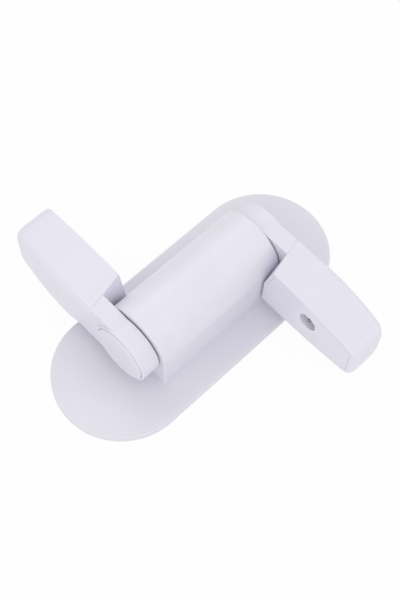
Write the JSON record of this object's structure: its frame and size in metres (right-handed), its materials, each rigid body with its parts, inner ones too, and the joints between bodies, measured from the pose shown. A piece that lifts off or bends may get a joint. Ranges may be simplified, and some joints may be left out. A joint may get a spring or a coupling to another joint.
{
  "type": "stair gate latch",
  "caption": "Stick-on safety latch: a round-ended plate with a round-backed housing and a push-button swing arm at each end, which blocks a lever handle or gate.",
  "frame": {"origin": "middle of the adhesive pad's underside", "axes": "+Z away from the surface that the pad sticks to, X along the barrel that the arms turn about, Y along the arms at rest"},
  "size_m": [0.12, 0.1158, 0.0315],
  "materials": {
    "plate_plastic": "smooth moulded white, semi-gloss",
    "housing_plastic": "smooth moulded white, semi-gloss",
    "arm_plastic": "moulded white, satin",
    "button_plastic": "moulded white, satin",
    "ring_plastic": "natural acetal, low gloss",
    "foam_tape": "closed-cell foam tape, matt",
    "fastener_steel": "nickel-plated steel",
    "spring_steel": "bright spring steel"
  },
  "bodies": {
    "base": {"base_plate": "plate_plastic", "adhesive_pad": "foam_tape", "housing": "housing_plastic", "housing_screws": "fastener_steel", "right_latch_leaf": "spring_steel", "right_leaf_screw": "fastener_steel", "left_latch_leaf": "spring_steel", "left_leaf_screw": "fastener_steel"},
    "right_arm": {"right_arm_shell": "arm_plastic", "right_arm_cover": "arm_plastic", "right_cover_screw": "fastener_steel", "right_lock_ring": "ring_plastic", "right_retaining_clip": "spring_steel"},
    "right_button": {"right_button": "button_plastic", "right_button_spring": "spring_steel", "right_button_clip": "spring_steel"},
    "left_arm": {"left_arm_shell": "arm_plastic", "left_arm_cover": "arm_plastic", "left_cover_screw": "fastener_steel", "left_lock_ring": "ring_plastic", "left_retaining_clip": "spring_steel"},
    "left_button": {"left_button": "button_plastic", "left_button_spring": "spring_steel", "left_button_clip": "spring_steel"}
  },
  "joints": [
    {"name": "right_arm_swing", "type": "hinge", "parent": "base", "child": "right_arm", "pos_m": [0.0316, 0, 0.0179], "axis": [-1, 0, 0], "range_deg": [0, 180], "deforming": ["right_latch_leaf"]},
    {"name": "left_arm_swing", "type": "hinge", "parent": "base", "child": "left_arm", "pos_m": [-0.0316, 0, 0.0179], "axis": [1, 0, 0], "range_deg": [0, 180], "deforming": ["left_latch_leaf"]},
    {"name": "right_button_press", "type": "slide", "parent": "right_arm", "child": "right_button", "axis": [-1, 0, 0], "range_m": [0, 0.002], "stiffness_N_per_m": 900, "springref_m": -0.0035, "deforming": ["right_button_spring"]},
    {"name": "left_button_press", "type": "slide", "parent": "left_arm", "child": "left_button", "axis": [1, 0, 0], "range_m": [0, 0.002], "stiffness_N_per_m": 900, "springref_m": -0.0035, "deforming": ["left_button_spring"]}
  ]
}
